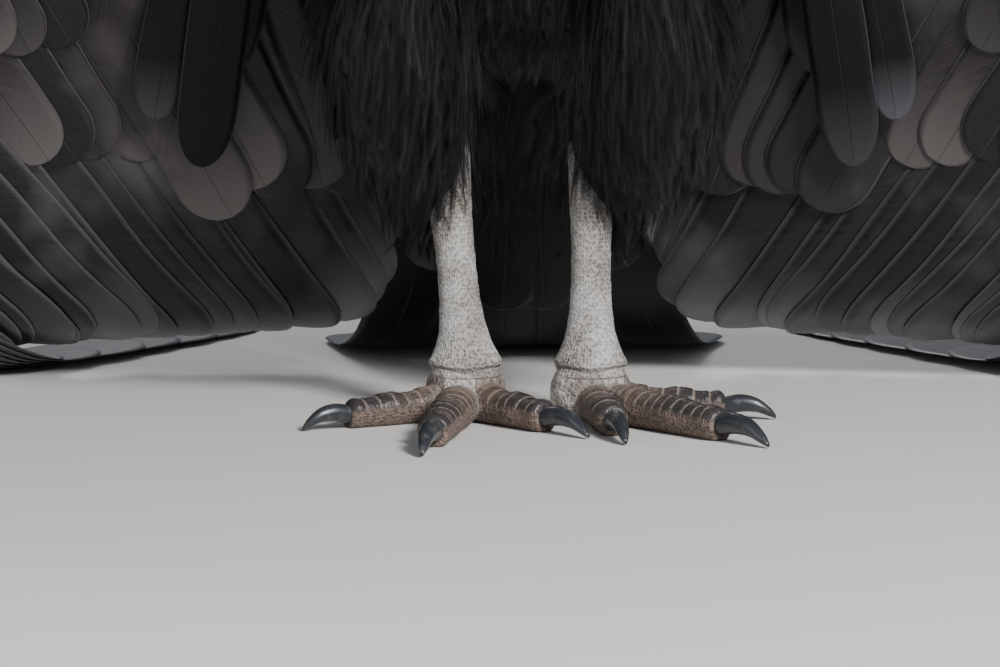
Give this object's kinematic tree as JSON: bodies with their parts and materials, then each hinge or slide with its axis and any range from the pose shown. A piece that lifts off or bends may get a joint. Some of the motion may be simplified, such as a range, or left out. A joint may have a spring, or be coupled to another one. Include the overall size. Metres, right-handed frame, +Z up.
{
  "type": "condor, standing with half-open wings",
  "caption": "Adult male Andean condor standing on both feet with its wings hung half open and laid back along the floor, as a still life-size model.",
  "frame": {"origin": "on the floor, under the middle of the bird's bounding box, with the soles at Z = 0", "axes": "+X to the bird's left across the spread wings, -Y the way it faces, +Z up"},
  "size_m": [1.3014, 0.7774, 0.8501],
  "materials": {
    "plumage": "blue-black plumage with a faint silky sheen",
    "wing_panel": "white upper side of the secondaries and their coverts, grey-brown below",
    "down": "white down, soft and matt",
    "skin": "bare wrinkled skin, dull brownish red",
    "caruncle": "fleshy comb and wattle, dark greyish red",
    "horn": "ivory horn, darker at the base",
    "eye": "wet brown eye with a black pupil",
    "shank": "pale grey net scales edged with dark lines",
    "toe": "brown-grey scales and broad dark plates",
    "claw": "slate-black horn, worn smooth"
  },
  "bodies": {
    "root": {"torso": "plumage", "ruff": "down", "neck": "skin", "head": "skin", "comb": "caruncle", "wattle": "caruncle", "bill_upper": "horn", "bill_lower": "horn", "tail": "plumage", "eye_left": "eye", "thigh_left": "plumage", "tarsus_left": "shank", "foot_left": "toe", "wing_upper_left": "plumage", "wing_forearm_left": "wing_panel", "wing_hand_left": "plumage", "claw_left_1": "claw", "claw_left_2": "claw", "claw_left_3": "claw", "claw_left_4": "claw", "eye_right": "eye", "thigh_right": "plumage", "tarsus_right": "shank", "foot_right": "toe", "wing_upper_right": "plumage", "wing_forearm_right": "wing_panel", "wing_hand_right": "plumage", "claw_right_1": "claw", "claw_right_2": "claw", "claw_right_3": "claw", "claw_right_4": "claw"}
  },
  "joints": []
}
